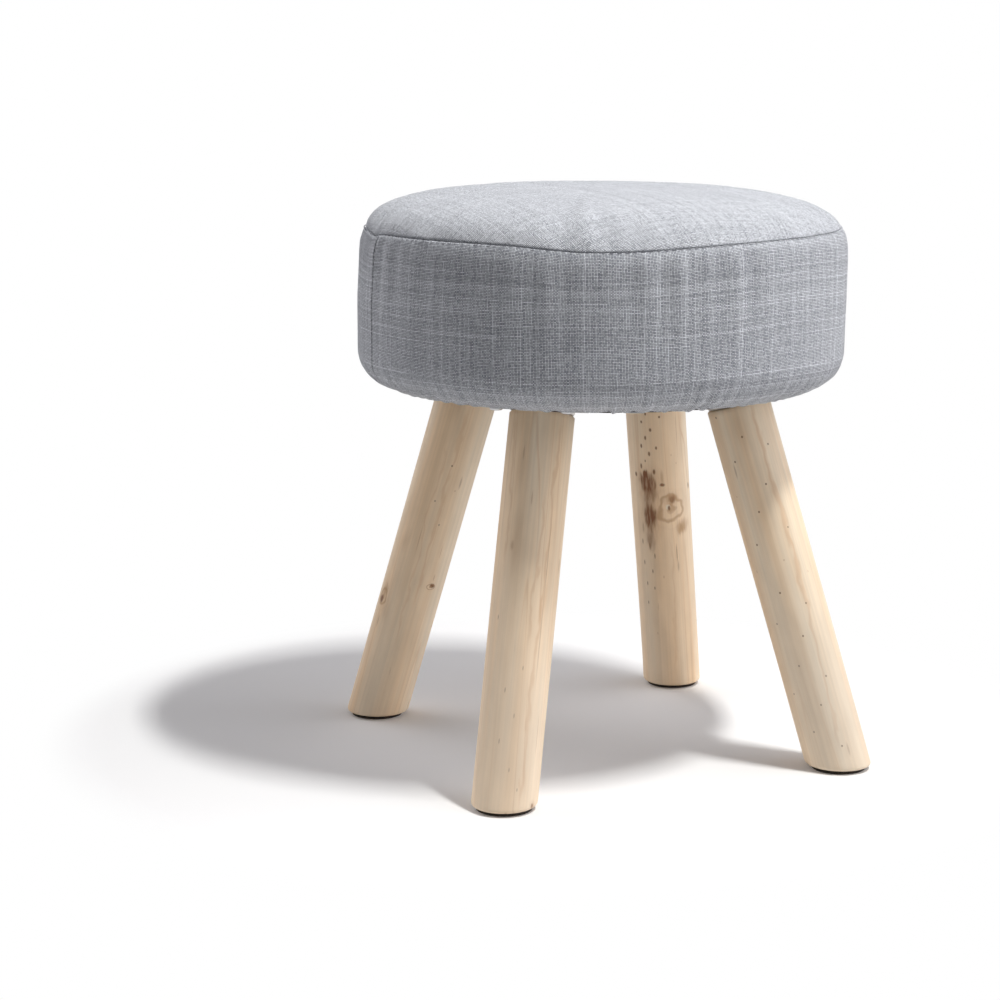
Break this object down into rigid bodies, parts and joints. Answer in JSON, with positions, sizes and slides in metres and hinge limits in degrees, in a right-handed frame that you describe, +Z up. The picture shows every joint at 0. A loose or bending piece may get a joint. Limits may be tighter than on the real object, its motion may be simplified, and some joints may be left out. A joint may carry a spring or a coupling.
{
  "type": "round upholstered footstool",
  "caption": "Low round footstool: crowned fabric seat with a sewn side band on splayed pine pole legs with felt feet.",
  "frame": {"origin": "on the floor, under the middle of the round seat", "axes": "+Z up; the leg plates lie on the diagonals, and the side band's upright seam faces -X"},
  "size_m": [0.31, 0.31, 0.362],
  "materials": {
    "fabric": "linen-look plain weave, blue-grey melange",
    "wadding": "white polyester wadding",
    "foam": "open-cell polyurethane foam",
    "plywood": "plain plywood",
    "non_woven": "black non-woven",
    "pine": "bare sanded pine, matt",
    "felt": "dark felt",
    "zinc": "bright zinc-plated steel"
  },
  "bodies": {
    "root": {"top_panel": "fabric", "side_band": "fabric", "crown_wadding": "wadding", "side_wadding": "wadding", "foam_core": "foam", "base_board": "plywood", "dust_cover": "non_woven", "leg_plate_front_left": "zinc", "plate_screw_front_left_1": "zinc", "plate_screw_front_left_2": "zinc", "plate_screw_front_left_3": "zinc", "plate_screw_front_left_4": "zinc", "plate_nut_front_left": "zinc", "hanger_bolt_front_left": "zinc", "leg_front_left": "pine", "foot_pad_front_left": "felt", "leg_plate_front_right": "zinc", "plate_screw_front_right_1": "zinc", "plate_screw_front_right_2": "zinc", "plate_screw_front_right_3": "zinc", "plate_screw_front_right_4": "zinc", "plate_nut_front_right": "zinc", "hanger_bolt_front_right": "zinc", "leg_front_right": "pine", "foot_pad_front_right": "felt", "leg_plate_back_right": "zinc", "plate_screw_back_right_1": "zinc", "plate_screw_back_right_2": "zinc", "plate_screw_back_right_3": "zinc", "plate_screw_back_right_4": "zinc", "plate_nut_back_right": "zinc", "hanger_bolt_back_right": "zinc", "leg_back_right": "pine", "foot_pad_back_right": "felt", "leg_plate_back_left": "zinc", "plate_screw_back_left_1": "zinc", "plate_screw_back_left_2": "zinc", "plate_screw_back_left_3": "zinc", "plate_screw_back_left_4": "zinc", "plate_nut_back_left": "zinc", "hanger_bolt_back_left": "zinc", "leg_back_left": "pine", "foot_pad_back_left": "felt"}
  },
  "joints": []
}
